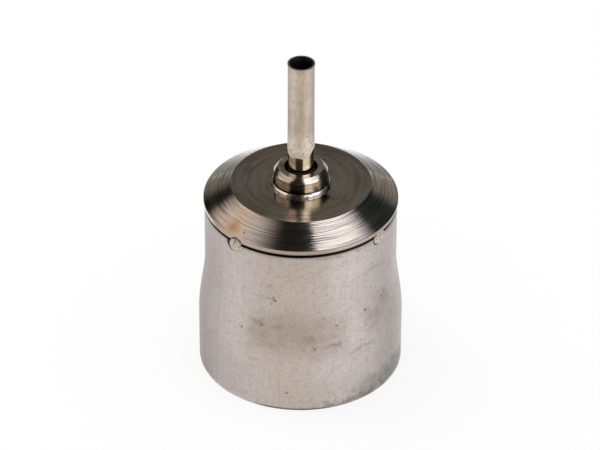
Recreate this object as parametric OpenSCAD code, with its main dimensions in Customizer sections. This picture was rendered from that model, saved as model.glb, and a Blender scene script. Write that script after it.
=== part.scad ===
// Push-on hot air nozzle: a formed sheet steel sleeve, a turned steel cap with a
// central boss, a narrow outlet tube seated in the boss, and tack welds that join
// the cap to the sleeve. Lengths are in millimetres. The axis is +Z, and the origin
// is the centre of the sleeve's open end, on which the nozzle stands.

/* [Sleeve] */
// Outside diameter of the wide end, which slides over a heater tube
socket_od = 31; // [29:0.1:36]
// Outside diameter of the narrow end, under the cap
crown_od = 29; // [25:0.1:31]
// Thickness of the sheet
sheet = 0.5; // [0.3:0.05:0.8]
// Height of the sleeve
sleeve_h = 27.6; // [23:0.1:36]
// Length of the straight wide end
socket_len = 8.6; // [4:0.1:12]
// Length of the flare between the wide end and the narrow end
flare_len = 10.2; // [5:0.1:14]
// Bevel on the cut edges of the sheet
sheet_bevel = 0.1; // [0.02:0.01:0.14]

/* [Cap] */
// How far the cap's rim stands out past the narrow end of the sleeve
rim_overhang = 0.15; // [0:0.01:0.6]
// Open gap between the sleeve's top edge and the rim
rim_gap = 0.5; // [0.2:0.05:0.8]
// Height of the plain rim
rim_h = 0.7; // [0.4:0.05:2]
// Height of the cone between the rim and the flat face
cone_h = 2.5; // [1:0.05:5]
// Diameter of the flat face
flat_d = 21.2; // [14:0.1:25]
// Length of the spigot that enters the sleeve
spigot_len = 2; // [1:0.1:5]
// Radial clearance between the spigot and the sleeve
spigot_clearance = 0.05; // [0.01:0.01:0.2]
// Bevel on the spigot's lower edge
spigot_bevel = 0.3; // [0.1:0.05:0.8]
// Number of turned grooves on the cone
groove_count = 9; // [4:1:14]
// Depth of a turned groove
groove_depth = 0.04; // [0.01:0.01:0.1]

/* [Boss] */
// Wall of the boss around its recess
boss_wall = 1.83; // [1:0.01:3]
// Height of the boss above the flat face
boss_h = 3.05; // [1.5:0.05:6]
// Height of the bevel round the top of the boss
boss_bevel_h = 0.7; // [0.2:0.05:1]
// Width of the bevel round the top of the boss
boss_bevel_w = 0.8; // [0.2:0.05:0.9]
// Height of the bead at the foot of the boss
bead_h = 0.6; // [0.1:0.05:0.7]
// Width of the bead at the foot of the boss
bead_w = 0.26; // [0.1:0.01:0.6]
// Width of the ring-shaped recess between the boss and the tube
recess_gap = 0.55; // [0.2:0.01:1.2]
// Depth of the recess
recess_depth = 1.4; // [0.5:0.1:3]

/* [Outlet tube] */
// Outside diameter of the tube
tube_od = 4; // [2.5:0.1:7]
// Wall of the tube
tube_wall = 0.4; // [0.2:0.05:0.8]
// Height of the tube's mouth above the boss
tube_reach = 18.15; // [8:0.05:40]
// Radial step from the tube down to its turned neck
neck_step = 0.08; // [0.05:0.01:0.5]
// Length of the neck that shows above the boss
neck_len = 2.05; // [0.5:0.05:4]
// Length of the taper between the neck and the tube
taper_len = 1.7; // [0.5:0.05:4]
// How far the mouth spreads outwards
lip_flare = 0.07; // [0:0.01:0.2]
// Length of the spread mouth
lip_len = 0.5; // [0.2:0.05:1.5]
// Radial clearance between the neck and its bore in the cap
tube_clearance = 0.02; // [0:0.01:0.1]

/* [Tack welds] */
// Number of tack welds round the rim
weld_count = 4; // [3:1:8]
// Direction of the first weld, anticlockwise from +X
weld_angle = -39.5; // [-90:0.5:90]
// Width of a weld
weld_w = 2.2; // [1.6:0.1:3]
// How far a weld stands out past the rim
weld_proud = 0.2; // [0.1:0.05:0.5]
// How far below the sleeve's top edge a weld is centred
weld_drop = 0.2; // [0:0.05:0.4]

/* [Hidden] */
$fn = 96;

// Steps in which the curved parts of an outline are drawn
flare_steps = 20;
taper_steps = 8;
bead_steps = 6;
dome_steps = 5;

// Facets of a cut whose radius is many times the thickness that it leaves
fine_facets = 720;

// Radii, from the outside in
socket_r = socket_od / 2;
crown_r = crown_od / 2;
rim_r = crown_r + rim_overhang;
spigot_r = crown_r - sheet - spigot_clearance;
flat_r = flat_d / 2;
tube_r = tube_od / 2;
neck_r = tube_r - neck_step;
bore_r = neck_r + tube_clearance;
recess_r = neck_r + recess_gap;
boss_r = recess_r + boss_wall;

// Heights, from the bottom up
flare_z = socket_len;
underside_z = sleeve_h - spigot_len;
rim_z = sleeve_h + rim_gap;
cone_z = rim_z + rim_h;
flat_z = cone_z + cone_h;
boss_z = flat_z + boss_h;
recess_z = boss_z - recess_depth;
taper_z = boss_z + neck_len;
straight_z = taper_z + taper_len;
mouth_z = boss_z + tube_reach;
weld_z = sleeve_h - weld_drop;

// How far a weld stands out past the sleeve
weld_rise = rim_overhang + weld_proud;

// Eases from 0 to 1 with level ends
function ease(t) = t * t * (3 - 2 * t);

// A smooth S-curve from one radius and height to another
function s_curve(r0, z0, r1, z1, steps) =
    [for (i = [0:steps]) let (t = i / steps) [r0 + (r1 - r0) * ease(t), z0 + (z1 - z0) * t]];

function backwards(points) = [for (i = [len(points) - 1:-1:0]) points[i]];
function moved_in(points, by) = [for (p = points) [p[0] - by, p[1]]];

// Open-ended sleeve, drawn from one sheet: wide below, narrow above
module sleeve() {
    flare = s_curve(socket_r, flare_z, crown_r, flare_z + flare_len, flare_steps);
    outside = concat(
        [[socket_r - sheet_bevel, 0], [socket_r, sheet_bevel]],
        flare,
        [[crown_r, sleeve_h - sheet_bevel], [crown_r - sheet_bevel, sleeve_h]]
    );
    inside = concat(
        [[socket_r - sheet + sheet_bevel, 0], [socket_r - sheet, sheet_bevel]],
        moved_in(flare, sheet),
        [[crown_r - sheet, sleeve_h - sheet_bevel], [crown_r - sheet + sheet_bevel, sleeve_h]]
    );
    color("#c3b8b0")
        rotate_extrude()
            polygon(concat(outside, backwards(inside)));
}

// Points of the grooved cone, from the rim up to the flat face: ridges at even
// steps, with a groove's floor between each two, square to the slope
function grooved_cone() =
    let (run = rim_r - flat_r, slope = sqrt(run * run + cone_h * cone_h))
    [for (i = [0:2 * groove_count]) let (t = i / (2 * groove_count), cut = (i % 2) * groove_depth)
        [rim_r - run * t - cut * cone_h / slope, cone_z + cone_h * t - cut * run / slope]];

// Rounded bead round the foot of the boss
function boss_bead() =
    [for (i = [0:bead_steps]) let (a = 90 * i / bead_steps)
        [boss_r + bead_w * cos(a), flat_z + bead_h * sin(a)]];

// Turned cap: spigot, rim, grooved cone, flat face and boss, bored for the tube
module cap() {
    body = [
        [bore_r, underside_z],
        [spigot_r - spigot_bevel, underside_z],
        [spigot_r, underside_z + spigot_bevel],
        [spigot_r, rim_z],
        [rim_r, rim_z]
    ];
    boss_top = [
        [boss_r, boss_z - boss_bevel_h],
        [boss_r - boss_bevel_w, boss_z],
        [recess_r, boss_z],
        [recess_r, recess_z],
        [bore_r, recess_z]
    ];
    color("#6f6a63")
        rotate_extrude()
            polygon(concat(body, grooved_cone(), boss_bead(), boss_top));
}

// Thin outlet tube with a turned neck that is pressed into the cap
module outlet_tube() {
    outside = concat(
        [[neck_r, underside_z]],
        s_curve(neck_r, taper_z, tube_r, straight_z, taper_steps),
        [[tube_r, mouth_z - lip_len], [tube_r + lip_flare, mouth_z]]
    );
    color("#bfb2a4")
        rotate_extrude()
            polygon(concat(outside, backwards(moved_in(outside, tube_wall))));
}

// One domed weld across the gap between the sleeve's top edge and the rim. It is a
// button with its axis along +X, cut to the outside of what it joins.
module tack_weld() {
    button = concat(
        [[0, spigot_r - sheet], [weld_w / 2, spigot_r - sheet]],
        [for (i = [0:dome_steps]) let (a = 90 * i / dome_steps)
            [weld_w / 2 * cos(a), crown_r + weld_rise * sin(a)]]
    );
    joined = [
        [0, 0],
        [crown_r, 0],
        [crown_r, sleeve_h],
        [spigot_r, sleeve_h],
        [spigot_r, rim_z],
        [rim_r, rim_z],
        [rim_r, flat_z],
        [0, flat_z]
    ];
    difference() {
        translate([0, 0, weld_z])
            rotate([0, 90, 0])
                rotate_extrude()
                    polygon(button);
        rotate_extrude($fn = fine_facets)
            polygon(joined);
    }
}

module tack_welds() {
    color("#d2c8be")
        for (i = [0:weld_count - 1])
            rotate([0, 0, weld_angle + 360 * i / weld_count])
                tack_weld();
}

sleeve();
cap();
outlet_tube();
tack_welds();
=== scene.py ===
import math
import random

import bmesh
import bpy
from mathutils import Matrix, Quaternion, Vector, noise


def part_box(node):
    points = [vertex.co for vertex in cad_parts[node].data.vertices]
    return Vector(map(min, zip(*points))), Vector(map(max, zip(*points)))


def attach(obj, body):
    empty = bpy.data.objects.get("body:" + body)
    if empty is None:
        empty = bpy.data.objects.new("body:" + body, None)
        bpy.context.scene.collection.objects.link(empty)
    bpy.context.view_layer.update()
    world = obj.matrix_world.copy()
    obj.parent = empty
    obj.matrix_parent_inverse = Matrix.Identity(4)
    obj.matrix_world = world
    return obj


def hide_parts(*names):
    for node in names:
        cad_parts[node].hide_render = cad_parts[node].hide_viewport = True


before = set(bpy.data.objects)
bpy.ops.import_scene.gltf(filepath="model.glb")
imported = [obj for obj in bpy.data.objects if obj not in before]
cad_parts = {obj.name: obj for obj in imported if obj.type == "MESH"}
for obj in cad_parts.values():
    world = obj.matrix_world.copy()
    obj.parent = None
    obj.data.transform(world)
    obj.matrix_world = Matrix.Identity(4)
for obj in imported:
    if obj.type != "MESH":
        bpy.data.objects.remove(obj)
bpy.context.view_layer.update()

# Viewpoint. A long lens looks down on the nozzle from straight in front of it (-Y),
# 35 degrees above the horizontal, with a trace of roll.
MM = 0.001
view_pitch = math.radians(35.035)
view_roll = math.radians(0.188)
view_distance = 638.2 * MM
view_target = Vector((-0.11 * MM, 0, 23.386 * MM))
lens_mm = 253.46
sensor_mm = 36

camera = bpy.data.objects.new("camera", bpy.data.cameras.new("camera"))
bpy.context.scene.collection.objects.link(camera)
bpy.context.scene.camera = camera
camera.data.lens = lens_mm
camera.data.sensor_width = sensor_mm
towards_camera = Vector((0, -math.cos(view_pitch), math.sin(view_pitch)))
camera.location = view_target + towards_camera * view_distance
camera.rotation_mode = "QUATERNION"
level = (-towards_camera).to_track_quat("-Z", "Y")
camera.rotation_quaternion = level @ Quaternion((0, 0, 1), view_roll)

# Sleeve. A thin stainless steel tube, open below, drawn in by a soft S-shaped flare to a
# narrower top that takes the cap. The sheet is satin from drawing and tumbling, not quite
# true, and blotched by heat and handling.
sleeve_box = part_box("sleeve")
sleeve_top = sleeve_box[1].z
socket_radius = sleeve_box[1].x
crown_radius = 14.5 * MM
sheet = 0.5 * MM
flare_bottom = 8.6 * MM
flare_top = 18.8 * MM
flare_steps = 24
sheet_edge = 0.12 * MM
rolled_edge = 0.4 * MM
inner_edge = 0.05 * MM
slow_wave = 9 * MM
dimple = 2.6 * MM
steady_end = 3 * MM
trimmed_band = 1.2 * MM
sleeve_segments = 240
sleeve_side = 0.55 * MM


def rounded(corners, steps=4, largest=0.3, support=1.5):
    """Outline through (radius, height, rounding) corners. A rounded corner becomes a short
    curve over no more than the largest share of either side. A support point this many times
    as far out keeps the faces beside it flat."""
    outline = []
    for index, (radius, height, rounding) in enumerate(corners):
        corner = Vector((radius, height))
        if not rounding:
            outline.append(corner)
            continue
        before = Vector(corners[index - 1][:2]) - corner
        after = Vector(corners[(index + 1) % len(corners)][:2]) - corner
        bend = before.angle(after)
        reach = min(rounding / math.tan(bend / 2), largest * before.length, largest * after.length)
        before.normalize()
        after.normalize()
        outline.append(corner + before * reach * support)
        for step in range(steps + 1):
            t = step / steps
            outline.append(corner + before * reach * (1 - t) ** 2 + after * reach * t ** 2)
        outline.append(corner + after * reach * support)
    return outline


def divided(outline, longest):
    """The closed outline with points added until no stretch is longer than this."""
    points = []
    for start, end in zip(outline, outline[1:] + outline[:1]):
        count = max(1, math.ceil((end - start).length / longest))
        points += [start.lerp(end, step / count) for step in range(count)]
    return points


def turn(name, outline, segments, waver=None):
    """A solid of revolution about Z from a closed (radius, height) outline. waver gives how
    far a point is out of true, along the radius."""
    form = bmesh.new()
    rings = []
    for segment in range(segments):
        angle = 2 * math.pi * segment / segments
        ring = []
        for radius, height in outline:
            place = Vector((radius * math.cos(angle), radius * math.sin(angle), height))
            if waver:
                place.xy *= 1 + waver(place) / radius
            ring.append(form.verts.new(place))
        rings.append(ring)
    for ring, following in zip(rings, rings[1:] + rings[:1]):
        for index in range(len(outline)):
            face = form.faces.new((ring[index - 1], following[index - 1], following[index], ring[index]))
            face.smooth = True
    bmesh.ops.recalc_face_normals(form, faces=form.faces)
    mesh = bpy.data.meshes.new(name)
    form.to_mesh(mesh)
    form.free()
    piece = bpy.data.objects.new(name, mesh)
    bpy.context.scene.collection.objects.link(piece)
    return piece


class Signal:
    """A node's socket that takes part in Python sums, so that a finish or a form reads as
    arithmetic. Without a socket it only adds nodes to its tree."""

    def __init__(self, tree, socket=None):
        self.tree = tree
        self.socket = socket

    def node(self, kind, settings=None, inputs=None, output=0):
        """Adds a node: first its settings, then a value or a link for each named input."""
        made = self.tree.nodes.new(kind)
        for name, value in (settings or {}).items():
            setattr(made, name, value)
        for name, value in (inputs or {}).items():
            if isinstance(value, Signal):
                self.tree.links.new(value.socket, made.inputs[name])
            else:
                made.inputs[name].default_value = value
        return Signal(self.tree, made.outputs[output])

    def to(self, socket):
        """Links this to a socket of a node."""
        self.tree.links.new(self.socket, socket)

    def maths(self, operation, other, other_first=False):
        """A sum of this and another value."""
        pair = {0: other, 1: self} if other_first else {0: self, 1: other}
        return self.node("ShaderNodeMath", {"operation": operation}, pair)

    def __add__(self, other):
        return self.maths("ADD", other)

    def __radd__(self, other):
        return self.maths("ADD", other, True)

    def __sub__(self, other):
        return self.maths("SUBTRACT", other)

    def __rsub__(self, other):
        return self.maths("SUBTRACT", other, True)

    def __mul__(self, other):
        return self.maths("MULTIPLY", other)

    def __rmul__(self, other):
        return self.maths("MULTIPLY", other, True)

    def __truediv__(self, other):
        return self.maths("DIVIDE", other)

    def __rtruediv__(self, other):
        return self.maths("DIVIDE", other, True)

    def __pow__(self, other):
        return self.maths("POWER", other)

    def ramp(self, low, high):
        """0 below low, 1 above high and a smooth rise between."""
        limits = {"Value": self, "From Min": low, "From Max": high}
        return self.node("ShaderNodeMapRange", {"interpolation_type": "SMOOTHSTEP"}, limits)

    def band(self, rise, fall):
        """0, up to 1 between the first two values, and back to 0 between the second two."""
        return self.ramp(*rise) * (1 - self.ramp(*fall))

    def blend(self, colour, other):
        """One colour where this is 0, the other where it is 1."""
        return self.node("ShaderNodeMix", {"data_type": "RGBA"}, {0: self, 6: colour, 7: other}, 2)

    def cloud(self, scale, detail=3.0, roughness=0.5, stretch=(1, 1, 1)):
        """Noise at this place, with this many features a metre, drawn out by stretch."""
        place = self.node("ShaderNodeMapping", {}, {"Vector": self, "Scale": stretch})
        return place.node(
            "ShaderNodeTexNoise", {},
            {"Vector": place, "Scale": scale, "Detail": detail, "Roughness": roughness},
        )

    def parts(self):
        """X, Y and Z of this vector."""
        return [self.node("ShaderNodeSeparateXYZ", {}, {0: self}, output=axis) for axis in range(3)]

    def vector(self, operation, other, output=0):
        """This vector and another one, or a number for the operations that scale."""
        second = "Scale" if operation == "SCALE" else 1
        return self.node("ShaderNodeVectorMath", {"operation": operation}, {0: self, second: other}, output)

    def stirred(self, scale, amount):
        """This place, moved about at random by up to this much, so that edges run ragged."""
        wander = self.node(
            "ShaderNodeTexNoise", {}, {"Vector": self, "Scale": scale, "Detail": 3.0}, "Color")
        return wander.vector("SUBTRACT", (0.5, 0.5, 0.5)).vector("SCALE", 2 * amount).vector("ADD", self)

    def near(self, centre, size, edge=1.0):
        """1 round this centre, falling to 0 at this half-size over the outer share, edge."""
        far = self.vector("SUBTRACT", centre).vector("DIVIDE", size)
        far = far.vector("DISTANCE", (0, 0, 0), "Value")
        return 1 - far.ramp(1 - edge, 1)

    def bumped(self, strength, depth):
        """The surface normal over this relief, which is this deep where it is 1."""
        return self.node("ShaderNodeBump", {}, {"Height": self, "Strength": strength, "Distance": depth})


def finish(name):
    """A new metal: the material, its shader and the place on the piece, in metres."""
    material = bpy.data.materials.new(name)
    material.use_nodes = True
    tree = material.node_tree
    shader = tree.nodes["Principled BSDF"]
    shader.inputs["Metallic"].default_value = 1
    return material, shader, Signal(tree).node("ShaderNodeTexCoord", output="Object")


def feed(shader, **inputs):
    """Links signals to the shader's sockets."""
    for name, signal in inputs.items():
        signal.to(shader.inputs[name.replace("_", " ").title()])


def flare(inwards):
    """The S-curve of the flare, from the wide end up, moved in by this much."""
    for step in range(flare_steps + 1):
        t = step / flare_steps
        radius = socket_radius + (crown_radius - socket_radius) * t * t * (3 - 2 * t)
        yield radius - inwards, flare_bottom + (flare_top - flare_bottom) * t, 0


def out_of_true(place):
    """Slow waves and small dimples left by forming the sheet, faded out at the open end."""
    slow = noise.noise(place / slow_wave)
    small = noise.noise(place / dimple + Vector((7, 3, 1)))
    return (0.02 * slow + 0.006 * small) * MM * min(1, place.z / steady_end)


sleeve_outline = rounded([
    (socket_radius, 0, sheet_edge),
    *flare(0),
    (crown_radius, sleeve_top, rolled_edge),
    (crown_radius - sheet, sleeve_top, inner_edge),
    *reversed(list(flare(sheet))),
    (socket_radius - sheet, 0, sheet_edge),
])
sleeve = turn("sleeve_skin", divided(sleeve_outline, sleeve_side), sleeve_segments, out_of_true)

# the trimmed top edge runs a little high and low: turn from the front, half-width, rise
edge_waves = [(32, 30, 0.13 * MM), (84, 26, -0.16 * MM), (-75, 30, -0.08 * MM), (165, 40, 0.1 * MM)]
for vertex in sleeve.data.vertices:
    share = min(1, max(0, (vertex.co.z - sleeve_top) / trimmed_band + 1))
    facing = math.degrees(math.atan2(vertex.co.x, -vertex.co.y))
    for middle, half_width, rise in edge_waves:
        away = min(1, abs((facing - middle + 180) % 360 - 180) / half_width)
        vertex.co.z += rise * share * (0.5 + 0.5 * math.cos(math.pi * away))


def on_sleeve(turn_degrees, height):
    """The point on the outside of the sleeve at this turn from the front and this height."""
    t = min(1, max(0, (height * MM - flare_bottom) / (flare_top - flare_bottom)))
    radius = socket_radius + (crown_radius - socket_radius) * t * t * (3 - 2 * t)
    angle = math.radians(turn_degrees)
    return radius * math.sin(angle), -radius * math.cos(angle), height * MM


def unrolled(spot):
    """The sleeve rolled out flat: turn from the front in degrees, height in millimetres."""
    x, y, z = spot.parts()
    return x.maths("ARCTAN2", 0 - y) * math.degrees(1), z / MM


def patch(flat, turns, heights, fade):
    """1 between these turns and these heights, fading out inside them."""
    mask = 1
    for along, (low, high), soft in zip(flat, (turns, heights), fade):
        mask = along.band((low, low + soft), (high - soft, high)) * mask
    return mask


def ball(size):
    """The half-sizes of a round spot, from its half-size in millimetres."""
    return (size * MM,) * 3


def any_of(masks):
    """The strongest of several masks."""
    strongest = masks[0]
    for mask in masks[1:]:
        strongest = strongest.maths("MAXIMUM", mask)
    return strongest


# brown stains, warm and clean areas, and dull grey areas that are partly a painted reflection of
# the floor's shadow: turns from the front in degrees, heights in millimetres, and over how much
# of each they fade
stain_areas = [
    ((-34, 33), (9, 18.6), (9, 3)), ((36, 70), (10.4, 18.6), (9, 3)), ((104, 152), (3, 9.5), (14, 3)),
    ((-128, -100), (15, 22), (10, 3)), ((150, 176), (4, 14), (9, 4)), ((-172, -150), (3, 9), (8, 3)),
]
warm_areas = [
    ((-20, 20), (16, 27.6), (6, 2)), ((-18, 2), (0.5, 11.5), (5, 2)), ((120, 160), (17, 25), (12, 3)),
]
clean_areas = [
    ((8, 44), (17.5, 27), (9, 3)), ((27, 42), (8, 18), (5, 3)), ((4, 50), (4.5, 9.5), (9, 1.5)),
    ((-56, -30), (6, 26), (9, 4)), ((64, 98), (14, 25), (10, 3)), ((-160, -128), (14, 24), (10, 4)),
    ((-19, 19), (18.5, 29), (9, 3)),
]
dull_and_reflected_shade_areas = [
    ((14, 98), (-4, 5), (34, 3)), ((-136, -106), (-4, 4), (9, 3)), ((144, 174), (-4, 3.6), (9, 3)),
]
# turns from the front, and half-widths in degrees, of long lines that the drawing die left
die_lines = [
    (-69, 1.2), (-55.5, 1.1), (-49, 0.5), (-12, 0.4), (36, 0.5), (63, 0.8), (97, 1), (158, 0.7), (-118, 1),
]
# turn, height, half-width, half-height and strength of the smudges
smudges = [
    (-24.7, 14.9, 2, 0.6, 0.4), (-26, 15.3, 1, 0.5, 0.3), (-29, 15.4, 1.4, 0.3, 0.35),
    (-12.5, 14.9, 1.2, 0.9, 0.3), (4.9, 12.9, 2, 1, 0.3), (20, 11.6, 2, 0.6, 0.5), (16, 11.4, 1.4, 0.45, 0.4),
    (7.7, 11.4, 0.7, 0.9, 0.3), (-24, 19.7, 2.6, 0.4, 0.3), (-17.5, 19.7, 1, 0.5, 0.3),
    (-18, 21.8, 1, 0.25, 0.3), (30.6, 9.3, 1.2, 0.55, 0.3), (34.5, 9.7, 1.3, 0.6, 0.36),
    (38.5, 10, 1.2, 0.55, 0.36), (43, 9.8, 1.3, 0.6, 0.3), (42, 22.1, 1.4, 0.5, 0.28),
    (47, 22.5, 1.4, 0.5, 0.34), (52, 22.5, 1.4, 0.5, 0.34), (58, 22, 1.3, 0.5, 0.3),
    (66, 20.4, 1.3, 0.5, 0.3), (49, 14.2, 2.6, 2.2, 0.26), (57, 15.6, 2.4, 2, 0.22),
    (46, 12.4, 1.6, 1.2, 0.2), (111, 12, 2.4, 0.6, 0.3), (-120, 17, 2, 0.5, 0.3), (-96, 8, 1.4, 0.5, 0.3),
    (168, 14, 2.2, 0.5, 0.3),
]
# turn, height and half-size of the pits
pits = [
    (-15.3, 19.4, 0.4), (-16.2, 19.9, 0.26), (-17.6, 18.7, 0.2), (40.9, 15.7, 0.36), (21.2, 14.7, 0.3),
    (-23, 14.7, 0.3), (8.1, 11.3, 0.28), (-7.5, 3.2, 0.32), (-35.9, 13.3, 0.26), (55.5, 16.3, 0.28),
    (46.4, 19.2, 0.24), (-4.9, 23.3, 0.18), (13.5, 16.3, 0.18), (71, 13.3, 0.22), (100, 18, 0.25),
    (143, 11, 0.3), (171, 21, 0.2), (-160, 6, 0.25), (-131, 14, 0.2), (-88, 9, 0.28),
]
# turn from the front and height of the four tack welds, set by hand and so not quite even
weld_places = [(53.4, 27.4), (138.3, 27.2), (231.5, 27.25), (319.2, 27.38)]
# how far along the edge and above its weld each undercut lies, and its half-size; each
# undercut is painted as a crescent of near-black shade
undercut_shade_spots = [(-0.36, -0.3, 1.0), (-0.42, 0.02, 1.42), (-0.36, 0.02, 1.36), (-0.68, 0.14, 1.5)]


def beside(weld, along, rise):
    """The point this far along the edge from a weld's middle, and this far above it."""
    turn_degrees, height = weld
    return on_sleeve(turn_degrees + math.degrees(along * MM / crown_radius), height + rise)


satin, shader, place = finish("satin drawn steel")
streaks = place.cloud(2150, 3, 0.65, (1, 1, 0.05))
drawn_lines = place.cloud(900, 3, 0.6, (1, 1, 0.03)).ramp(0.58, 0.72)
clouds = place.cloud(120, 4, 0.6)
blotches = place.cloud(420, 3, 0.55)
drift = place.cloud(260, 3, 0.55)
mottle = place.cloud(900, 4, 0.65)
hue = place.cloud(620, 2, 0.5)
specks = place.cloud(1900, 3, 0.6).ramp(0.54, 0.7)
grain = place.cloud(5600, 3, 0.7)
hatch = place.cloud(4200, 2, 0.6, (0.3, 0.3, 1.0))
scuffs = place.cloud(1500, 3, 0.6, (0.18, 0.18, 1.0)).ramp(0.6, 0.75)
flecks = place.cloud(3000, 2, 0.5).ramp(0.69, 0.76)
spots = place.cloud(1250, 2, 0.45).ramp(0.6, 0.72)
straight = unrolled(place)
ragged = unrolled(place.stirred(420, 1.6 * MM))
torn = unrolled(place.stirred(500, 1.1 * MM))
spread = unrolled(place.stirred(300, 3 * MM))
blurred = place.stirred(2500, 0.2 * MM)
smeared = place.stirred(1100, 0.5 * MM)
stain = any_of([patch(spread, *area) for area in stain_areas])
warm = any_of([patch(ragged, *area) for area in warm_areas])
clean = any_of([patch(ragged, *area) for area in clean_areas])
dull_and_reflected_shade = any_of([patch(torn, *area) for area in dull_and_reflected_shade_areas]).ramp(0.12, 0.85)
die_line = any_of([
    patch(straight, (turn_by - wide, turn_by + wide), (-1, 28), (wide, 1)) for turn_by, wide in die_lines
])
smudge = any_of([
    strength * smeared.near(on_sleeve(turn_by, height), (wide * MM, wide * MM, tall * MM))
    for turn_by, height, wide, tall, strength in smudges
])
pit = any_of([
    blurred.near(on_sleeve(turn_by, height), ball(size), 0.7) for turn_by, height, size in pits
])
# painted shade: near-black crescents beside the welds, where the undercut lies in shadow
undercut_shade = any_of([
    blurred.near(beside(weld, along, rise), ball(size), 0.1)
    * (1 - blurred.near(beside(weld, 0.04, -0.02), ball(1.2), 0.1))
    for weld, (along, rise, size) in zip(weld_places, undercut_shade_spots)
])
scorch = any_of([
    smeared.near(beside(weld, 0, 0), (3 * MM, 3 * MM, 2.4 * MM)) for weld in weld_places
])
height = place.parts()[2] / MM
fringe = (1 - height.ramp(0.5, 2.4)) * mottle.ramp(0.42, 0.6) * patch(torn, (6, 62), (-3, 3), (10, 1))
# painted shadow: a dark line along the foot of the sleeve, where it stands on the floor
foot_contact_shade = (1 - height.ramp(0.2, 0.5)) * patch(torn, (-34, 26), (-3, 3), (18, 1))
# partly painted shade, partly soot: darker towards the sleeve's top edge all round, under the rim, with soot
# patches by the front right weld
edge_soot_and_shade = any_of([
    (height - sleeve_top / MM).ramp(-0.55, -0.1),
    patch(torn, (57, 110), (26.7, 29), (7, 0.6)),
    patch(torn, (4, 52), (26.7, 29), (9, 0.4)) * mottle.ramp(0.35, 0.6),
])
# painted shade: the top edge of the sleeve, in the gap under the cap's rim, goes near black
gap_shade = (height - sleeve_top / MM).ramp(-0.12, -0.02)
tone = clouds.ramp(0.35, 0.65).blend((0.64, 0.578, 0.562, 1), (0.615, 0.545, 0.515, 1))
tone = (0.6 * drift.ramp(0.52, 0.68)).blend(tone, (0.61, 0.58, 0.53, 1))
tone = (0.7 * (1 - drift.ramp(0.34, 0.5))).blend(tone, (0.64, 0.565, 0.575, 1))
tone = (0.5 * hue.ramp(0.52, 0.66)).blend(tone, (0.65, 0.555, 0.548, 1))
tone = (0.5 * (1 - hue.ramp(0.34, 0.48))).blend(tone, (0.59, 0.565, 0.525, 1))
tone = (0.4 * clean).blend(tone, (0.74, 0.685, 0.675, 1))
tone = (0.3 * warm).blend(tone, (0.62, 0.528, 0.468, 1))
tone = (0.5 * mottle.ramp(0.4, 0.75)).blend(tone, (0.51, 0.453, 0.415, 1))
spotting = 0.06 + 0.24 * blotches.ramp(0.38, 0.62) + 0.25 * mottle.ramp(0.35, 0.7) + 0.3 * specks
tone = (stain * spotting).blend(tone, (0.465, 0.384, 0.315, 1))
tone = (0.3 * die_line).blend(tone, (0.40, 0.345, 0.345, 1))
tone = (0.18 * drawn_lines).blend(tone, (0.50, 0.45, 0.43, 1))
tone = (0.75 * grain.ramp(0.42, 0.72)).blend(tone, (0.45, 0.395, 0.355, 1))
tone = (0.45 * hatch.ramp(0.5, 0.75)).blend(tone, (0.42, 0.365, 0.325, 1))
tone = (0.36 * streaks.ramp(0.5, 0.75)).blend(tone, (0.44, 0.39, 0.36, 1))
# partly painted reflection of the floor's shadow: dull grey patches low on the sleeve, the largest on its
# front right
tone = (dull_and_reflected_shade * (0.36 + 0.34 * mottle.ramp(0.3, 0.6))).blend(tone, (0.32, 0.32, 0.29, 1))
tone = (0.4 * scuffs).blend(tone, (0.40, 0.35, 0.31, 1))
tone = (0.5 * flecks).blend(tone, (0.25, 0.21, 0.18, 1))
tone = (0.42 * spots).blend(tone, (0.36, 0.31, 0.30, 1))
tone = smudge.blend(tone, (0.25, 0.195, 0.155, 1))
tone = (0.4 * scorch).blend(tone, (0.50, 0.43, 0.35, 1))
tone = (0.7 * fringe).blend(tone, (0.24, 0.195, 0.185, 1))
tone = (0.9 * foot_contact_shade).blend(tone, (0.12, 0.1, 0.09, 1))
tone = (0.45 * edge_soot_and_shade).blend(tone, (0.20, 0.165, 0.14, 1))
tone = (0.75 * pit).blend(tone, (0.16, 0.125, 0.105, 1))
# painted shade in the undercuts and in the gap, near black
tone = any_of([undercut_shade, gap_shade]).blend(tone, (0.045, 0.03, 0.024, 1))
roughness = 0.30 + 0.10 * clouds + 0.10 * stain + 0.08 * dull_and_reflected_shade + 0.08 * grain
relief = 0.5 * streaks + 0.5 * grain + 0.4 * mottle - 1.2 * pit - 0.4 * flecks
feed(shader, base_color=tone, roughness=roughness, normal=relief.bumped(0.3, 0.03 * MM))
sleeve.data.materials.append(satin)
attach(sleeve, "root")
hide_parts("sleeve")

# Cap. Turned from stainless bar in one piece: a spigot inside the sleeve, a narrow rim, a cone
# with coarse tool marks, a face cut slightly hollow, and a bevelled boss with a lumpy bead at
# its foot, bored for the tube. The spigot and the rim's underside are dull from heat, and are
# painted dark as the shade in the gap between the sleeve and the rim.
cap_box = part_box("cap")
underside = cap_box[0].z
boss_cut = 0.14 * MM
boss_top = cap_box[1].z - boss_cut
rim_radius = cap_box[1].x
spigot_radius = 13.95 * MM
spigot_bevel = 0.3 * MM
rim_bottom = 28.1 * MM
cone_bottom = 28.8 * MM
flat_height = 31.3 * MM
flat_radius = 10.6 * MM
dish_radius = 7.3 * MM
dish_depth = 0.065 * MM
bead_width = 0.38 * MM
bead_ledge = 0.14 * MM
bead_height = 0.5 * MM
bead_shoulder = 0.3 * MM
bead_bulge = 0.03 * MM
bead_lump = 1.1 * MM
bead_grain = 0.32 * MM
boss_radius = 4.06 * MM
bead_top = flat_height + bead_height
bead_foot = flat_height - dish_depth
bead_radius = boss_radius + bead_width
bevel_radius = 3.44 * MM
bevel_bottom = boss_top - 0.63 * MM
bevel_bulge = 0.03 * MM
recess_radius = 2.47 * MM
recess_bottom = boss_top - 1.4 * MM
bore_radius = 1.94 * MM
turned_edge = 0.05 * MM
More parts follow.
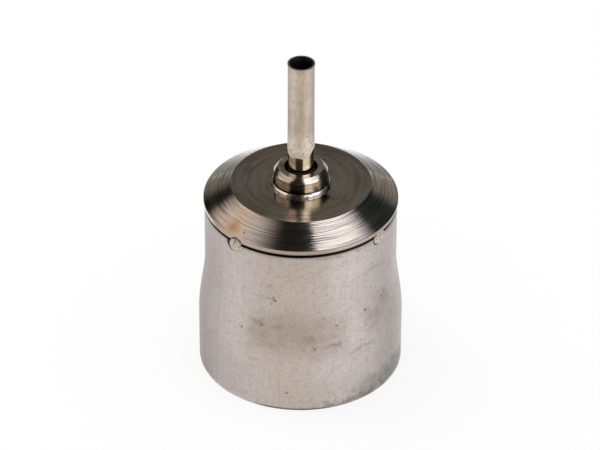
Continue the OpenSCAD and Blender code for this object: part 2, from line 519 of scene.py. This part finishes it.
rim_lower_edge = 0.08 * MM
rim_upper_edge = 0.06 * MM
face_edge = 0.04 * MM
bead_fillet = 0.04 * MM
bead_edge = 0.03 * MM
ledge_fillet = 0.02 * MM
bevel_edge = 0.012 * MM
recess_edge = 0.06 * MM
recess_fillet = 0.1 * MM
cap_segments = 240
cap_side = 0.6 * MM
groove_count = 19
cuts = random.Random(4)


def tool_marks(steps=7, face_at=0.999):
    """The cone from the rim up to the face, as the hollows that passes of the tool leave.
    Each is a little wider or deeper than the next. The face's own edge ends the last one."""
    bottom = Vector((rim_radius, cone_bottom))
    top = Vector((flat_radius, flat_height))
    inwards = (top - bottom).orthogonal().normalized()
    if inwards.y > 0:
        inwards.negate()
    widths = [cuts.uniform(0.4, 1.6) * (1.4 - 0.8 * i / groove_count) for i in range(groove_count)]
    start = 0
    for width in widths:
        depth = cuts.uniform(0.4, 1.4) * width * (0.005 + 0.006 * start) * MM
        share = width / sum(widths)
        for step in range(1, steps + 1):
            t = step / steps
            hollow = 4 * t * (1 - t)
            point = bottom.lerp(top, start + share * t) + inwards * depth * hollow
            if start + share * t < face_at:
                yield point.x, point.y, 0
        start += share


def bulging(start, end, bulge, edge, steps=8):
    """A slope between two (radius, height) points that stands out by this much halfway, with
    its two ends rounded by edge."""
    start = Vector(start)
    end = Vector(end)
    outwards = (end - start).orthogonal().normalized()
    if outwards.x < 0:
        outwards.negate()
    for step in range(steps + 1):
        t = step / steps
        point = start.lerp(end, t) + outwards * bulge * math.sin(math.pi * t)
        yield point.x, point.y, edge if step in (0, steps) else 0


def dished(steps=8):
    """The face from its edge inwards, left a little hollow by the facing cut."""
    for step in range(1, steps + 1):
        t = 1 - step / steps
        radius = dish_radius + (flat_radius - dish_radius) * t
        yield radius, flat_height - dish_depth * (1 - t * t), 0


bead_slope = (bead_radius, bead_foot + bead_shoulder), (boss_radius + bead_ledge, bead_top)
bevel_slope = (boss_radius, bevel_bottom), (bevel_radius, boss_top)
cap_outline = rounded([
    (bore_radius, underside, turned_edge),
    (spigot_radius - spigot_bevel, underside, turned_edge),
    (spigot_radius, underside + spigot_bevel, turned_edge),
    (spigot_radius, rim_bottom, 0),
    (rim_radius, rim_bottom, rim_lower_edge),
    (rim_radius, cone_bottom, rim_upper_edge),
    *tool_marks(),
    (flat_radius, flat_height, face_edge),
    *dished(),
    (bead_radius, bead_foot, bead_fillet),
    *bulging(*bead_slope, bead_bulge, bead_edge),
    (boss_radius, bead_top, ledge_fillet),
    *bulging(*bevel_slope, bevel_bulge, bevel_edge),
    (recess_radius, boss_top, recess_edge),
    (recess_radius, recess_bottom, recess_fillet),
    (bore_radius, recess_bottom, turned_edge),
])


def beaded(place):
    """Lumps in the bead at the foot of the boss, nothing elsewhere."""
    if not boss_radius < place.xy.length < boss_radius + 2 * bead_width:
        return 0
    if not 0 < place.z - flat_height < bead_height - 0.01 * MM:
        return 0
    return 0.03 * MM * noise.noise(place / bead_lump) + 0.024 * MM * noise.noise(place / bead_grain)


cap = turn("cap_body", divided(cap_outline, cap_side), cap_segments, beaded)

turned, shader, place = finish("turned steel")
x, y, z = place.parts()
radius = (x * x + y * y) ** 0.5
around = place.node("ShaderNodeCombineXYZ", {}, {0: x / radius, 1: y / radius, 2: radius * 900})
fine_rings = around.cloud(9, 2, 0.6, (0.25, 0.25, 1))
long_arcs = around.cloud(1.6, 3, 0.6, (1.2, 1.2, 0.6))
swirl = around.cloud(0.9, 4, 0.65, (1.6, 1.6, 1.8))
face_hue = place.cloud(170, 3, 0.5)
tint = place.cloud(240, 3)
recess = 1 - radius.ramp(recess_radius + 0.04 * MM, recess_radius + 0.1 * MM)
dull_shaded_spigot = 1 - (z - rim_bottom).ramp(-0.05 * MM, 0.05 * MM)
lines = around.cloud(5.5, 2, 0.55, (0.22, 0.22, 1)).ramp(0.53, 0.62)
on_cone = radius.ramp(flat_radius - 0.02 * MM, flat_radius + 0.02 * MM)
rim = radius.ramp(rim_radius - 0.06 * MM, rim_radius - 0.02 * MM)


def on_cap(turn_degrees, out, height):
    """The point on the cap at this turn from the front, distance from the axis and height."""
    angle = math.radians(turn_degrees)
    return out * MM * math.sin(angle), -out * MM * math.cos(angle), height * MM


def on_face(turn_degrees, out):
    """The point on the cap's face at this turn from the front and distance from the axis."""
    return on_cap(turn_degrees, out, flat_height / MM)


def by_welds(spot, along, out, height, size):
    """Round spots of this half-size on the cone, this many degrees on from each weld."""
    return any_of([
        spot.near(on_cap(turn_by + along, out, height), ball(size)) for turn_by, _ in weld_places
    ])


heat_edge = place.stirred(500, 0.9 * MM)
heat = by_welds(heat_edge, -6, 13.8, 29.3, 3.1)
burnt = by_welds(heat_edge, -6.5, 13.6, 29.5, 1.7)
bruise = by_welds(heat_edge, 5, 14, 29.2, 1.3)
right = x.ramp(-1 * MM, 1 * MM)
boss_face = 1 - radius.ramp(bevel_radius - 0.04 * MM, bevel_radius)
boss_face = boss_face * z.ramp(boss_top - 0.1 * MM, boss_top - 0.05 * MM)
# turn from the front, distance from the axis and height of pits, with their half-size
cap_pits = [
    (-38, 13.6, 29.45, 0.2), (-38.6, 13.3, 29.6, 0.16), (-49, 3.8, 34.05, 0.14), (-30.5, 4, 33.9, 0.15),
    (18, 4.2, 33.7, 0.12), (-44, 4.5, 31.6, 0.26), (-10, 4.5, 31.6, 0.3), (40, 4.5, 31.6, 0.14),
]
# turn, distance and half-size of rust spots on the face
rust_spots = [(37, 6.2, 0.8), (43, 5.6, 0.6), (48, 6.4, 0.5), (5, 9.8, 1.0), (-8, 9.6, 1.0), (150, 7, 0.5)]
rust = any_of([
    place.stirred(1500, 0.25 * MM).near(on_face(turn_by, out), ball(size))
    for turn_by, out, size in rust_spots
])
cap_pit = any_of([
    place.stirred(2500, 0.1 * MM).near(on_cap(turn_by, out, height), ball(size), 0.6)
    for turn_by, out, height, size in cap_pits
])
tone = tint.ramp(0.35, 0.7).blend((0.60, 0.555, 0.525, 1), (0.57, 0.515, 0.46, 1))
face_tint = 0.6 * (1 - on_cone)
tone = (face_tint * face_hue.ramp(0.5, 0.64)).blend(tone, (0.62, 0.52, 0.41, 1))
tone = (face_tint * (1 - face_hue.ramp(0.36, 0.5))).blend(tone, (0.52, 0.545, 0.51, 1))
tone = boss_face.blend(tone, (0.78, 0.74, 0.69, 1))
tone = ((0.95 - 0.55 * on_cone) * swirl.ramp(0.42, 0.66)).blend(tone, (0.38, 0.35, 0.305, 1))
tone = (on_cone * 0.75 * lines).blend(tone, (0.20, 0.18, 0.16, 1))
tone = (0.5 * fine_rings.ramp(0.55, 0.75)).blend(tone, (0.36, 0.32, 0.28, 1))
yellow_haze = place.near(on_face(20, 7.2), (4.2 * MM, 4 * MM, 1 * MM))
tone = (0.6 * yellow_haze).blend(tone, (0.58, 0.49, 0.36, 1))
haze = place.stirred(300, 1.2 * MM)
brown_haze = haze.near(on_face(-42, 8.4), (6 * MM, 4.6 * MM, 1.5 * MM))
grey_haze = haze.near(on_face(78, 6), (2.6 * MM, 3.6 * MM, 1.5 * MM))
tone = (0.5 * brown_haze).blend(tone, (0.40, 0.325, 0.245, 1))
edge_haze = radius.ramp(8.4 * MM, 10 * MM) * (1 - on_cone)
edge_haze = edge_haze * patch(unrolled(haze), (-88, -18), (20, 40), (18, 1))
tone = (0.55 * edge_haze).blend(tone, (0.33, 0.28, 0.22, 1))
tone = (0.6 * grey_haze).blend(tone, (0.64, 0.65, 0.61, 1))
tone = (0.6 * rust).blend(tone, (0.34, 0.145, 0.115, 1))
tone = (0.6 * heat * (1 - right)).blend(tone, (0.52, 0.385, 0.235, 1))
tone = (0.65 * burnt * (1 - right)).blend(tone, (0.27, 0.17, 0.09, 1))
tone = (0.5 * any_of([bruise, heat * right])).blend(tone, (0.42, 0.345, 0.37, 1))
tone = (0.7 * rim).blend(tone, (0.455, 0.378, 0.322, 1))
# painted highlight: a pale band on the rim's left side
rim_highlight = rim * patch(unrolled(place), (-88, -58), (20, 40), (9, 1))
tone = (0.8 * rim_highlight).blend(tone, (0.86, 0.82, 0.78, 1))
rim_corner = (z - cone_bottom).band((-0.09 * MM, -0.03 * MM), (0.04 * MM, 0.1 * MM))
rim_corner = rim_corner * patch(unrolled(place), (0, 170), (20, 40), (14, 1))
# painted shade along the rim's lower edge over the gap, with a dark line at the rim's top corner
rim_shade_and_lines = any_of([1 - (z - rim_bottom).ramp(0.1 * MM, 0.2 * MM), rim_corner])
tone = (0.6 * rim_shade_and_lines).blend(tone, (0.10, 0.08, 0.065, 1))
weld_edge = place.stirred(1800, 0.16 * MM)
# painted shadow: near-black rings on the rim round all welds but the front right one
weld_shadow_line = any_of([
    weld_edge.near(on_cap(turn_by, rim_radius / MM, height + 0.05), ball(1.5), 0.12)
    for turn_by, height in weld_places[1:]
])
tone = (0.9 * weld_shadow_line).blend(tone, (0.06, 0.035, 0.035, 1))
tone = (0.8 * cap_pit).blend(tone, (0.10, 0.07, 0.05, 1))
on_boss = (bevel_radius, boss_radius - 0.05 * MM)
wall = radius.band(on_boss, (boss_radius, boss_radius + 0.1 * MM))
wall = wall * z.band((bead_top, bead_top + 0.05 * MM), (bevel_bottom - 0.05 * MM, bevel_bottom))
# partly soot, partly painted shade: the ledge between the bead and the boss wall goes near black
ledge_soot_and_shade = (z - bead_top).band((-0.05 * MM, -0.01 * MM), (0.1 * MM, 0.24 * MM)) * radius.ramp(*on_boss)
wall_rings = place.cloud(2600, 3, 0.6, (0.06, 0.06, 1)).ramp(0.42, 0.6)
tone = (wall * (0.45 + 0.5 * fine_rings.ramp(0.4, 0.6))).blend(tone, (0.31, 0.272, 0.195, 1))
low_wall = wall * (1 - (z - bead_top).ramp(0.3 * MM, 1.4 * MM))
tone = ((0.3 * wall + 0.5 * low_wall) * wall_rings).blend(tone, (0.10, 0.078, 0.055, 1))
on_bead = radius.band((boss_radius, boss_radius + 0.04 * MM), (bead_radius, bead_radius + 0.08 * MM))
on_bead = on_bead * (1 - (z - bead_top).ramp(-0.04 * MM, 0.02 * MM))
bead_gaps = place.cloud(1300, 2, 0.5).ramp(0.56, 0.66)
tone = (0.85 * on_bead).blend(tone, (0.88, 0.835, 0.79, 1))
tone = (0.75 * on_bead * bead_gaps).blend(tone, (0.12, 0.09, 0.07, 1))
tone = (ledge_soot_and_shade * tint.ramp(0.3, 0.5)).blend(tone, (0.03, 0.022, 0.018, 1))
# painted shade: a dark line in the crease where the bead meets the face
bead_foot_shade = (radius - bead_radius).band((-0.1 * MM, -0.05 * MM), (0.06 * MM, 0.18 * MM))
bead_foot_shade = bead_foot_shade * z.band((rim_bottom, bead_foot - dish_depth), (bead_foot + 0.06 * MM, bead_foot + 0.2 * MM))
tone = (0.5 * bead_foot_shade).blend(tone, (0.14, 0.115, 0.09, 1))
# turn, distance and height of soot round the foot of the boss, and of painted shade on its
# right side, with its half-sizes
soot_and_shade_places = [
    (-12, 4.35, 31.95, (1.9, 1.2, 0.8)), (70, 4.45, 31.7, (0.5, 1.6, 0.9)), (43, 5.4, 31.4, (1.1, 0.9, 0.5)),
]
boss_soot_and_shade = any_of([
    place.stirred(1300, 0.3 * MM).near(on_cap(turn_by, out, height), Vector(halves) * MM, 0.5)
    for turn_by, out, height, halves in soot_and_shade_places
])
# partly soot, partly painted shade: dark patches at the boss's foot, the one on its right side standing in
# for shade
tone = (0.8 * boss_soot_and_shade).blend(tone, (0.05, 0.035, 0.03, 1))
tone = recess.blend(tone, (0.12, 0.07, 0.045, 1))
# painted shade: the spigot, seen only through the gap, is dark
tone = dull_shaded_spigot.blend(tone, (0.10, 0.075, 0.06, 1))
roughness = 0.09 + 0.09 * long_arcs + 0.05 * fine_rings - 0.03 * on_cone + 0.03 * boss_face
roughness = roughness + 0.2 * rim + 0.3 * recess + 0.3 * dull_shaded_spigot + 0.12 * on_bead
relief = (2.4 - 1.8 * on_cone) * fine_rings + 0.4 * long_arcs - 0.5 * lines * on_cone
feed(shader, base_color=tone, roughness=roughness, normal=relief.bumped(0.3, 0.01 * MM))
cap.data.materials.append(turned)
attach(cap, "root")
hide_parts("cap")

# Outlet tube. Drawn stainless tube, matt from tumbling, with a slightly spread, burred
# mouth. Its foot is reduced to a bright turned neck that is pressed into the cap.
tube_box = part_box("outlet_tube")
mouth = tube_box[1].z
lip_radius = tube_box[1].x
tube_radius = 2.0 * MM
tube_wall = 0.4 * MM
neck_radius = 1.92 * MM
neck_top = 36.4 * MM
taper_top = 37.9 * MM
swell_radius = 2.04 * MM
swell_top = 41 * MM
taper_steps = 10
lip_length = 0.5 * MM
lip_wall = 0.28 * MM
lip_edge = 0.07 * MM
tube_edge = 0.05 * MM
knock = 1.4 * MM
tube_segments = 120
tube_side = 0.3 * MM


def taper(inwards):
    """The easing from the neck up to the full tube, moved in by this much."""
    for step in range(taper_steps + 1):
        t = step / taper_steps
        radius = neck_radius + (swell_radius - neck_radius) * t * t * (3 - 2 * t)
        yield radius - inwards, neck_top + (taper_top - neck_top) * t, 0
    yield tube_radius - inwards, swell_top, 0


def tumbled(place):
    """Small knocks in the thin wall."""
    return 0.006 * MM * noise.noise(place / knock)


tube_outline = rounded([
    (neck_radius, underside, tube_edge),
    *taper(0),
    (tube_radius, mouth - lip_length, 0),
    (lip_radius, mouth, lip_edge),
    (lip_radius - lip_wall, mouth, tube_edge),
    (tube_radius - tube_wall, mouth - lip_length, 0),
    *reversed(list(taper(tube_wall))),
    (neck_radius - tube_wall, underside, tube_edge),
])
tube = turn("outlet_pipe", divided(tube_outline, tube_side), tube_segments, tumbled)

tumbled_steel, shader, place = finish("tumbled tube steel")
x, y, z = place.parts()
radius = (x * x + y * y) ** 0.5
drawn = place.cloud(2400, 3, 0.6, (1, 1, 0.1))
broad = place.cloud(800, 2, 0.5, (1, 1, 0.12))
grain = place.cloud(5200, 3, 0.7)
patches = place.cloud(520, 4, 0.65)
rough_end = place.near((1.5 * MM, -1.3 * MM, 40.2 * MM), (1.1 * MM, 1.1 * MM, 2.0 * MM), 0.6)
low_end = 0.35 * (1 - z.ramp(taper_top + 0.7 * MM, swell_top))
pocks = place.cloud(2500, 2, 0.5).ramp(0.54, 0.66) * (0.1 + 0.9 * any_of([rough_end, low_end]))
mottle = place.cloud(1900, 3, 0.6)
blush = place.cloud(1000, 3, 0.55)
polished_to = neck_top + 0.25 * MM + 1.1 * MM * x.ramp(0.9 * MM, 1.95 * MM) + 0.6 * MM * (blush - 0.5)
bright_neck = 1 - (z - polished_to).ramp(-0.18 * MM, 0.22 * MM)
shaded_inside = 1 - (radius - tube_radius).ramp(-0.24 * MM, -0.18 * MM)
shaded_inside = shaded_inside * (z - neck_top).ramp(0.8 * MM, 1.6 * MM)
tone = patches.ramp(0.35, 0.65).blend((0.715, 0.615, 0.53, 1), (0.57, 0.48, 0.395, 1))
tone = (0.8 * broad.ramp(0.42, 0.68)).blend(tone, (0.49, 0.425, 0.34, 1))
tone = (0.65 * (0.5 * drawn + 0.5 * grain).ramp(0.45, 0.68)).blend(tone, (0.44, 0.37, 0.295, 1))
tone = (0.5 * blush.ramp(0.52, 0.64)).blend(tone, (0.62, 0.50, 0.455, 1))
tone = (0.5 * (1 - blush.ramp(0.36, 0.48))).blend(tone, (0.58, 0.545, 0.43, 1))
pale_foot = 1 - z.ramp(taper_top - 0.1 * MM, swell_top + 0.8 * MM)
tone = pale_foot.blend(tone, (0.95, 0.85, 0.742, 1))
tone = (0.4 * mottle.ramp(0.52, 0.66)).blend(tone, (0.46, 0.375, 0.33, 1))
tone = (0.8 * pocks).blend(tone, (0.26, 0.18, 0.145, 1))
tone = (bright_neck * 0.95).blend(tone, (0.52, 0.465, 0.385, 1))
lip = (z - mouth).ramp(-0.16 * MM, -0.04 * MM)
tone = (0.5 * lip).blend(tone, (0.27, 0.265, 0.25, 1))
# painted reflection: the neck's foot by the recess is dark brown, as the recess would show in it
heel_reflection = 1 - (z - boss_top).ramp(-0.25 * MM, 0.2 * MM)
tone = (0.85 * heel_reflection).blend(tone, (0.50, 0.29, 0.17, 1))
# painted shade: the inside of the tube is near black
tone = shaded_inside.blend(tone, (0.03, 0.027, 0.025, 1))
blasted = (1 - (z - taper_top).ramp(0.1 * MM, 2.1 * MM)) * (1 - bright_neck)
roughness = 0.36 - 0.26 * bright_neck + 0.3 * heel_reflection + 0.22 * blasted
roughness = roughness + 0.1 * grain + 0.2 * shaded_inside + 0.15 * lip
relief = (0.5 * drawn + 0.5 * grain - 0.8 * pocks) * (1 - 0.9 * bright_neck)
feed(shader, base_color=tone, roughness=roughness, normal=relief.bumped(0.35, 0.03 * MM))
tube.data.materials.append(tumbled_steel)
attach(tube, "root")
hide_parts("outlet_tube")

# Tack welds. Four small beads of weld metal, a quarter turn apart, that bridge the open gap
# between the sleeve's edge and the rim. Each froze as a rough flattened lump.
weld_ring = 14.5 * MM
weld_size = (0.44 * MM, 1.2 * MM, 1.12 * MM)
weld_lumps = 0.34 * MM
lumps_a_metre = 1000.0
weld_seed = 3


def weld_tree():
    """Geometry nodes: a lumpy flattened bead on each given point, square to the axis."""
    tree = bpy.data.node_groups.new("tack welds", "GeometryNodeTree")
    tree.interface.new_socket("Geometry", in_out="OUTPUT", socket_type="NodeSocketGeometry")
    for name, kind in (
        ("Geometry", "NodeSocketGeometry"), ("Bead Size", "NodeSocketVector"), ("Lumps", "NodeSocketFloat"),
        ("Lumps A Metre", "NodeSocketFloat"), ("Seed", "NodeSocketInt"), ("Material", "NodeSocketMaterial"),
    ):
        tree.interface.new_socket(name, in_out="INPUT", socket_type=kind)

    start = Signal(tree)

    def given(name):
        return start.node("NodeGroupInput", output=name)

    x, y, _ = start.node("GeometryNodeInputPosition").parts()
    outwards = start.node("ShaderNodeCombineXYZ", {}, {"Z": y.maths("ARCTAN2", x)})
    growth = start.node(
        "FunctionNodeRandomValue", {"data_type": "FLOAT"}, {"Min": 0.9, "Max": 1.1, "Seed": given("Seed")},
        "Value",
    )
    beads = start.node(
        "GeometryNodeInstanceOnPoints", {},
        {
            "Points": given("Geometry"),
            "Instance": start.node("GeometryNodeMeshIcoSphere", {}, {"Radius": 1.0, "Subdivisions": 6}),
            "Rotation": outwards,
            "Scale": given("Bead Size").vector("SCALE", growth),
        },
    )
    beads = start.node("GeometryNodeRealizeInstances", {}, {0: beads})
    place = start.node("GeometryNodeInputPosition")
    lumps = start.node(
        "ShaderNodeTexNoise", {},
        {"Vector": place, "Scale": given("Lumps A Metre"), "Detail": 3.0, "Roughness": 0.6},
    )
    push = start.node("GeometryNodeInputNormal").vector("SCALE", (lumps - 0.5) * given("Lumps"))
    beads = start.node("GeometryNodeSetPosition", {}, {0: beads, "Offset": push})
    beads = start.node("GeometryNodeSetShadeSmooth", {}, {0: beads})
    beads = start.node("GeometryNodeSetMaterial", {}, {0: beads, "Material": given("Material")})
    beads.to(tree.nodes.new("NodeGroupOutput").inputs[0])
    return tree


def grown(name, spots, tree, **inputs):
    """The plain mesh that a geometry node tree makes on these points with these inputs."""
    seed_mesh = bpy.data.meshes.new(name)
    seed_mesh.from_pydata(spots, [], [])
    seed_piece = bpy.data.objects.new(name + "_seed", seed_mesh)
    bpy.context.scene.collection.objects.link(seed_piece)
    modifier = seed_piece.modifiers.new("grow", "NODES")
    modifier.node_group = tree
    for item in tree.interface.items_tree:
        if item.in_out == "INPUT" and item.name != "Geometry":
            modifier[item.identifier] = inputs[item.name.replace(" ", "_").lower()]
    evaluated = seed_piece.evaluated_get(bpy.context.evaluated_depsgraph_get())
    mesh = bpy.data.meshes.new_from_object(evaluated)
    bpy.data.objects.remove(seed_piece)
    piece = bpy.data.objects.new(name, mesh)
    bpy.context.scene.collection.objects.link(piece)
    return piece


weld_steel, shader, place = finish("weld metal")
crust = place.cloud(3600, 4, 0.65)
pores = place.cloud(2800, 3, 0.6).ramp(0.5, 0.62)
# painted shade: a near-black spot at one end of each weld, in a small hole by the gap
weld_end_shade = any_of([place.near(beside(weld, 1.1, 0.48), ball(0.36), 0.4) for weld in weld_places])
tone = crust.ramp(0.35, 0.65).blend((0.57, 0.505, 0.455, 1), (0.76, 0.69, 0.635, 1))
tone = (0.7 * pores).blend(tone, (0.30, 0.23, 0.17, 1))
tone = weld_end_shade.blend(tone, (0.03, 0.022, 0.018, 1))
roughness = 0.40 + 0.25 * crust + 0.2 * pores
relief = crust - 0.6 * pores
feed(shader, base_color=tone, roughness=roughness, normal=relief.bumped(0.6, 0.06 * MM))
weld_spots = [on_cap(turn_by, weld_ring / MM, height) for turn_by, height in weld_places]
welds = grown(
    "weld_beads", weld_spots, weld_tree(), bead_size=weld_size, lumps=weld_lumps,
    lumps_a_metre=lumps_a_metre, seed=weld_seed, material=weld_steel,
)
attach(welds, "root")
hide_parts("tack_welds")

# Studio. White paper under a white sky, with a large softbox to the right, and a warm reflector
# and a pale strip to the left. A dark tent and shaded paper, which only reflections see, give
# the metal its blacks and greys.
world = bpy.data.worlds.new("studio")
bpy.context.scene.world = world
world.use_nodes = True
world.node_tree.nodes["Background"].inputs["Color"].default_value = (1, 1, 1, 1)
world.node_tree.nodes["Background"].inputs["Strength"].default_value = 1.0

floor_size = 12.0
paper_glow = 0.82
floor_mesh = bpy.data.meshes.new("floor")
half = floor_size / 2
floor_corners = [(-half, -half, 0), (half, -half, 0), (half, half, 0), (-half, half, 0)]
floor_mesh.from_pydata(floor_corners, [], [(0, 1, 2, 3)])
floor = bpy.data.objects.new("floor", floor_mesh)
bpy.context.scene.collection.objects.link(floor)
paper = bpy.data.materials.new("white paper")
paper.use_nodes = True
paper_shader = paper.node_tree.nodes["Principled BSDF"]
paper_shader.inputs["Base Color"].default_value = (0.9, 0.9, 0.9, 1)
paper_shader.inputs["Roughness"].default_value = 0.9
paper_shader.inputs["Specular IOR Level"].default_value = 0
lit_paper = Signal(paper.node_tree, paper_shader.outputs[0])
white_paper = lit_paper.node("ShaderNodeEmission")
seen = any_of([
    lit_paper.node("ShaderNodeLightPath", output=kind)
    for kind in ("Is Camera Ray", "Is Glossy Ray", "Is Transmission Ray")
])
shown = lit_paper.node("ShaderNodeMixShader", {}, {"Fac": seen * paper_glow, 1: lit_paper, 2: white_paper})
shown.to(paper.node_tree.nodes["Material Output"].inputs["Surface"])
floor_mesh.materials.append(paper)


def glowing(name, mesh, light):
    """A piece of the studio that only reflections see. light gives the signal of its colour,
    from an empty one in its material."""
    sheet_object = bpy.data.objects.new(name, mesh)
    bpy.context.scene.collection.objects.link(sheet_object)
    material = bpy.data.materials.new(name)
    material.use_nodes = True
    start = Signal(material.node_tree)
    glow = start.node("ShaderNodeEmission", {}, {"Color": light(start)})
    glow.to(material.node_tree.nodes["Material Output"].inputs["Surface"])
    mesh.materials.append(material)
    sheet_object.visible_camera = False
    sheet_object.visible_diffuse = False
    sheet_object.visible_shadow = False


def card(name, spots, light, height=0.5):
    """A level glowing card above the nozzle. Its corners are directions, in metres to the
    right and to the back for each metre up, and light gives its colour and strength at one."""
    mesh = bpy.data.meshes.new(name)
    corners = [(x * height, y * height, height) for x, y in spots]
    mesh.from_pydata(corners, [], [tuple(range(len(corners)))])

    def shine(start):
        spot = start.node("ShaderNodeTexCoord", output="Object")
        x, y, _ = spot.vector("SCALE", 1 / height).parts()
        colour, strength = light(x, y)
        return start.node("ShaderNodeVectorMath", {"operation": "SCALE"}, {0: colour, "Scale": strength})

    glowing(name, mesh, shine)


def softbox_light(x, y):
    """Even light, stronger towards the front, that thins out to a cool edge at the back."""
    full = (0.845 - y - 0.482 * x.maths("MINIMUM", 1)).ramp(0, 0.585)
    colour = full.ramp(0.02, 0.25).blend((0.8, 1, 0.96, 1), (1, 0.967, 0.98, 1))
    return colour, full * (1.75 + 0.65 * (0 - y).ramp(0.15, 0.5))


def reflector_light(x, y):
    """Warm light that comes up slowly from the middle, and falls off at the side and the back."""
    left = 0 - x
    colour = left.ramp(0.45, 0.75).blend((1, 0.89, 0.82, 1), (1, 0.845, 0.735, 1))
    return colour, left.ramp(0.19, 0.7) * (1 - 0.32 * left.ramp(1.05, 1.4)) * (1 - y.ramp(0.4, 1.75))


def strip_light(x, y):
    """Pale light, a little stronger on its outer side."""
    return (1, 0.97, 0.94), 1.1 + 0.3 * (0 - x).ramp(1.3, 2)


card(
    "right softbox",
    [
        (0.16, -0.1), (0.15, -0.5), (0.46, -1.36), (1.4, -5), (4.2, -4.2), (2.9, -1.4), (1.54, -0.2),
        (1.36, 0.21), (0.8, 0.48),
    ],
    softbox_light,
)
card(
    "left reflector",
    [
        (-0.2, 0.1), (-0.25, -0.42), (-1.15, -0.9), (-4, -1.4), (-5.4, 0.9), (-4, 4), (-2.4, 2.2),
        (-1.9, 1.6), (-1.13, 1.13),
    ],
    reflector_light,
)
strip_height = 0.45
card(
    "left strip",
    [(-1.25, -1.15), (-3.2, -4.2), (-5.4, -1), (-5.4, 1), (-2.6, 0.75), (-1.75, -0.1)],
    strip_light, strip_height,
)
shade_lift = 0.3 * MM


def shaded_paper(name, wall, reaches, shades, lift=shade_lift):
    """A fan on the floor that only reflections see. Its rays run from the foot of a round wall
    the way a look from the front is thrown off it. Each of reaches is a distance from the wall
    and a share of the light there, and each of shades a turn, a brightness and a warmth."""
    corners = []
    colours = []
    for turn_by, bright, warmth in shades:
        angle = math.radians(turn_by)
        foot = Vector((wall * math.sin(angle), -wall * math.cos(angle), lift))
        away = Vector((math.sin(2 * angle), -math.cos(2 * angle), 0))
        for reach, share in reaches:
            corners.append(foot + away * reach)
            light = bright * share
            colours.append((light, light * (1 - 0.06 * warmth), light * (1 - 0.14 * warmth), 1))
    across = len(reaches)
    faces = []
    for ray in range(len(shades) - 1):
        for ring in range(across - 1):
            near = ray * across + ring
            faces.append((near, near + across, near + across + 1, near + 1))
    mesh = bpy.data.meshes.new(name)
    mesh.from_pydata(corners, [], faces)
    colour = mesh.attributes.new("shade", "FLOAT_COLOR", "POINT")
    for corner, value in zip(colour.data, colours):
        corner.color = value
    glowing(name, mesh, lambda start: start.node("ShaderNodeAttribute", {"attribute_name": "shade"}))


shaded_paper(
    "paper by the sleeve", socket_radius, [(0.2 * MM, 0.88), (8 * MM, 0.95), (24 * MM, 1), (36 * MM, 1)],
    [
        (-90, 0.8, -0.2), (-80, 0.73, -0.2), (-72, 0.62, -0.2), (-64, 0.64, -0.2), (-57, 0.79, 0),
        (-49, 0.87, 0), (-40, 0.92, 0), (-30, 0.98, 0.2), (-20, 0.95, 0.6), (4, 0.95, 0.6), (14, 0.99, 0.2),
        (30, 1, 0), (38, 0.93, 0), (48, 0.83, 0), (54, 0.68, -0.2), (60, 0.65, -0.2), (66, 0.75, -0.2),
        (75, 0.88, -0.2), (90, 0.95, -0.2),
    ],
)
shaded_paper(
    "paper by the tube", tube_radius, [(50 * MM, 1), (120 * MM, 1)],
    [
        (-90, 0.75, -0.5), (-84, 0.6, -0.5), (-66, 0.6, -0.5), (-62, 0.8, 0), (-47, 0.82, 0), (-43, 1, 0),
        (-31, 0.98, 0), (-25, 0.74, 1.1), (14, 0.7, 1.1), (19, 1.18, 0.3), (38, 1.18, 0.3), (44, 0.85, 0),
        (58, 0.66, -0.2), (65, 0.54, -0.5), (82, 0.54, -0.5), (90, 0.7, -0.5),
    ],
)
shaded_paper(
    "paper behind", tube_radius,
    [
        (58 * MM, 1.5), (95 * MM, 1.5), (106 * MM, 1.05), (123 * MM, 0.66), (160 * MM, 0.44),
        (230 * MM, 0.34), (2500 * MM, 0.46),
    ],
    [(79, 1, 0), (90, 1, 0), (101, 1, 0)], 2 * shade_lift,
)

tent_radius = 3.0
tent_segments = 48


def tent_light(start):
    """Almost black, lighter behind the nozzle and most of all low down there."""
    spot = start.node("ShaderNodeTexCoord", output="Object")
    x, y, z = spot.vector("SCALE", 1 / tent_radius).parts()
    behind = (y + 0.06 * x.ramp(0.2, 0.6) - 0.035 * (0 - x).ramp(0.2, 0.6)).ramp(0.68, 0.84)
    low_down = 1 - z.ramp(0.05, 0.5)
    strength = 0.018 + 0.016 * x.ramp(0.3, 0.6) + 0.155 * behind
    strength = strength + (0.07 + 0.09 * x.ramp(0, 0.4)) * behind * low_down
    colour = x.ramp(0.1, 0.4).blend((1, 0.92, 0.8, 1), (0.8, 1, 0.98, 1))
    return behind.blend(colour, (1, 0.925, 0.81, 1)).vector("SCALE", strength)


tent_form = bmesh.new()
bmesh.ops.create_uvsphere(tent_form, u_segments=tent_segments, v_segments=tent_segments, radius=tent_radius)
under_floor = [vert for vert in tent_form.verts if vert.co.z < -0.01]
bmesh.ops.delete(tent_form, geom=under_floor, context="VERTS")
tent_mesh = bpy.data.meshes.new("dark tent")
tent_form.to_mesh(tent_mesh)
tent_form.free()
glowing("dark tent", tent_mesh, tent_light)

lamp_size = 0.4
lamp_place = Vector((-0.4, 0.25, 0.6))
lamp_aim = Vector((0, 0, 0.02))
key = bpy.data.objects.new("key lamp", bpy.data.lights.new("key lamp", "AREA"))
key.data.shape = "RECTANGLE"
key.data.size = lamp_size
key.data.size_y = lamp_size
key.data.energy = 1.0
key.location = lamp_place
key.rotation_euler = (lamp_aim - lamp_place).to_track_quat("-Z", "Y").to_euler()
key.visible_glossy = False
bpy.context.scene.collection.objects.link(key)

bpy.context.scene.view_settings.view_transform = "Standard"
